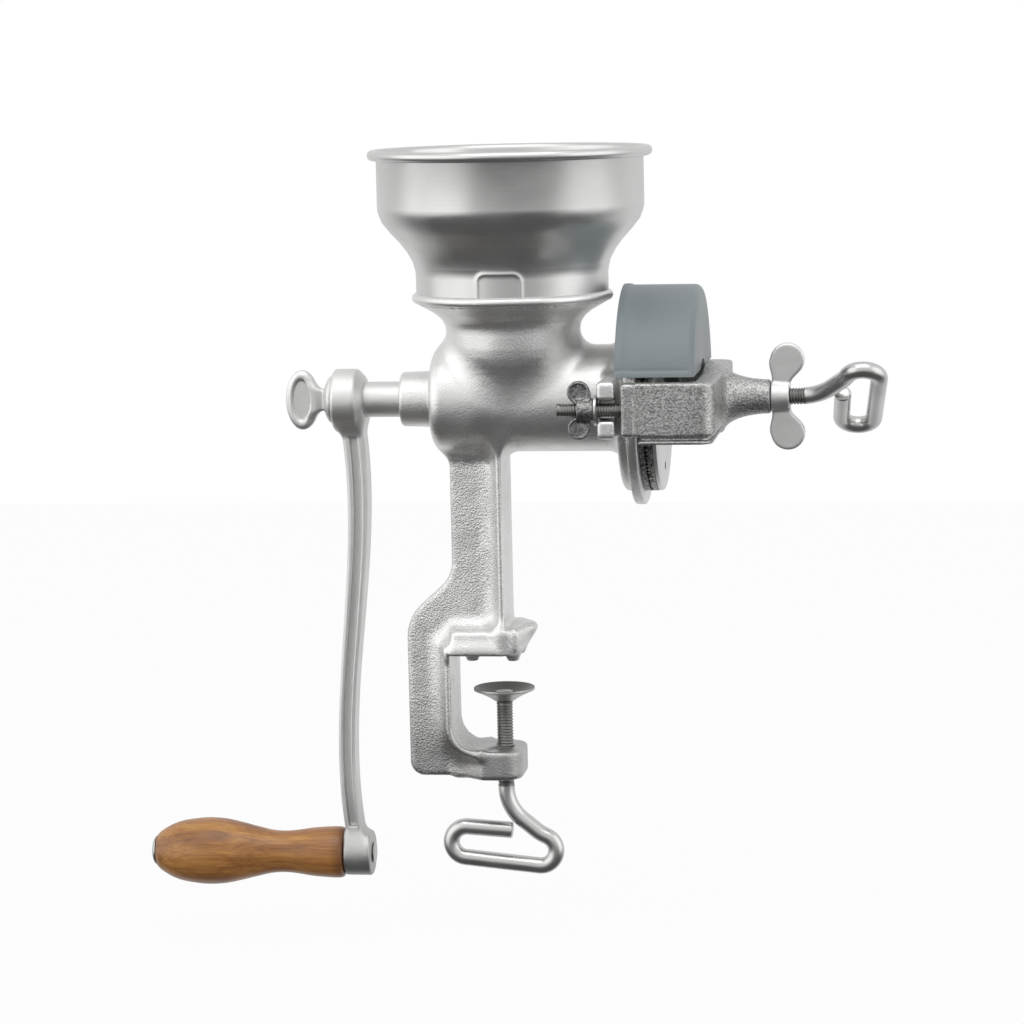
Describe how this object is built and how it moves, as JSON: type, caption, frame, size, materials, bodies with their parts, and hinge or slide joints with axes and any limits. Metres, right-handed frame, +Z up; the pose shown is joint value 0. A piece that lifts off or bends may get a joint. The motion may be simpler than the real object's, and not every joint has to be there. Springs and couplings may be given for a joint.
{
  "type": "hand grain mill",
  "caption": "Hand-cranked grain mill with a round hopper, clamp frame, burr discs under a half-round guard, yoke with adjusting screw, and a long crank with a wooden grip.",
  "frame": {"origin": "on the clamp screw's axis, in the plane of the upper jaw's feet, where the table top's upper face sits", "axes": "+Z up along the clamp screw, +X along the crank shaft from the crank to the adjusting screw, -Y towards the side that the picture shows"},
  "size_m": [0.361, 0.1344, 0.3562],
  "materials": {
    "tinned_casting": "tin plated, fine cast grain, satin",
    "tinned_sheet": "tin plated, spun, satin",
    "steel_parts": "tin plated, satin",
    "steel_rod": "tin plated, smooth",
    "burr_iron": "rough as cast",
    "guard_metal": "smooth grey, semi-matt",
    "grip_wood": "turned, clear varnish"
  },
  "bodies": {
    "frame": {"body": "tinned_casting", "fixed_burr": "burr_iron", "fixed_burr_screws": "steel_parts", "yoke": "tinned_casting", "front_yoke_bolt": "steel_parts", "rear_yoke_bolt": "steel_parts"},
    "hopper": {"hopper": "tinned_sheet"},
    "guard": {"burr_guard": "guard_metal"},
    "thrust": {"thrust_ball": "steel_parts"},
    "crankshaft": {"auger": "tinned_casting", "drive_pin": "steel_parts", "burr_holder": "tinned_casting", "rotating_burr": "burr_iron", "rotating_burr_screws": "steel_parts", "crank_arm": "tinned_casting", "handle_bolt": "steel_parts"},
    "grip": {"wooden_grip": "grip_wood"},
    "thumb_screw": {"crank_thumb_screw": "tinned_casting"},
    "adjuster": {"adjusting_screw": "steel_rod"},
    "lock_nut": {"lock_wing_nut": "tinned_casting"},
    "pad": {"clamp_pad": "steel_parts"},
    "clamp": {"clamp_screw": "steel_rod"},
    "front_washer": {"front_washer": "steel_parts"},
    "front_nut": {"front_wing_nut": "tinned_casting"},
    "rear_washer": {"rear_washer": "steel_parts"},
    "rear_nut": {"rear_wing_nut": "tinned_casting"}
  },
  "joints": [
    {"name": "hopper_lift", "type": "slide", "parent": "frame", "child": "hopper", "axis": [0, 0, 1], "range_m": [0, 0.06]},
    {"name": "guard_lift", "type": "slide", "parent": "frame", "child": "guard", "axis": [0, 0, 1], "range_m": [0, 0.014]},
    {"name": "burr_gap", "type": "slide", "parent": "frame", "child": "thrust", "axis": [1, 0, 0], "range_m": [0, 0.004]},
    {"name": "crank_spin", "type": "hinge", "parent": "thrust", "child": "crankshaft", "pos_m": [0, 0, 0.1245], "axis": [1, 0, 0], "continuous": true},
    {"name": "grip_spin", "type": "hinge", "parent": "crankshaft", "child": "grip", "pos_m": [-0.12, 0, -0.0968], "axis": [1, 0, 0], "continuous": true},
    {"name": "thumb_screw_turn", "type": "hinge", "parent": "crankshaft", "child": "thumb_screw", "pos_m": [-0.09, 0, 0.1245], "axis": [1, 0, 0], "range_deg": [0, 180]},
    {"name": "adjusting_screw_turn", "type": "hinge", "parent": "thrust", "child": "adjuster", "pos_m": [0.15, 0, 0.1245], "axis": [1, 0, 0], "range_deg": [0, 1021]},
    {"name": "lock_nut_turn", "type": "hinge", "parent": "frame", "child": "lock_nut", "pos_m": [0.134, 0, 0.1245], "axis": [1, 0, 0], "range_deg": [0, 90]},
    {"name": "clamp_travel", "type": "slide", "parent": "frame", "child": "pad", "axis": [0, 0, 1], "range_m": [-0.02, 0.0045]},
    {"name": "clamp_screw_turn", "type": "hinge", "parent": "pad", "child": "clamp", "pos_m": [0, 0, -0.05], "axis": [0, 0, 1], "range_deg": [-5090, 1140]},
    {"name": "front_nut_travel", "type": "slide", "parent": "frame", "child": "front_washer", "axis": [-1, 0, 0], "range_m": [0, 0.005]},
    {"name": "front_nut_turn", "type": "hinge", "parent": "front_washer", "child": "front_nut", "pos_m": [0.05, -0.0565, 0.1245], "axis": [-1, 0, 0], "range_deg": [0, 1415]},
    {"name": "rear_nut_travel", "type": "slide", "parent": "frame", "child": "rear_washer", "axis": [-1, 0, 0], "range_m": [0, 0.005]},
    {"name": "rear_nut_turn", "type": "hinge", "parent": "rear_washer", "child": "rear_nut", "pos_m": [0.05, 0.0565, 0.1245], "axis": [-1, 0, 0], "range_deg": [0, 1415]}
  ],
  "couplings": [
    {"joint": "adjusting_screw_turn", "follows": "burr_gap", "rad_per_m": 4453},
    {"joint": "clamp_travel", "follows": "clamp_screw_turn", "m_per_rad": 0.00022457},
    {"joint": "front_nut_travel", "follows": "front_nut_turn", "m_per_rad": 0.00020213},
    {"joint": "rear_nut_travel", "follows": "rear_nut_turn", "m_per_rad": 0.00020213}
  ]
}
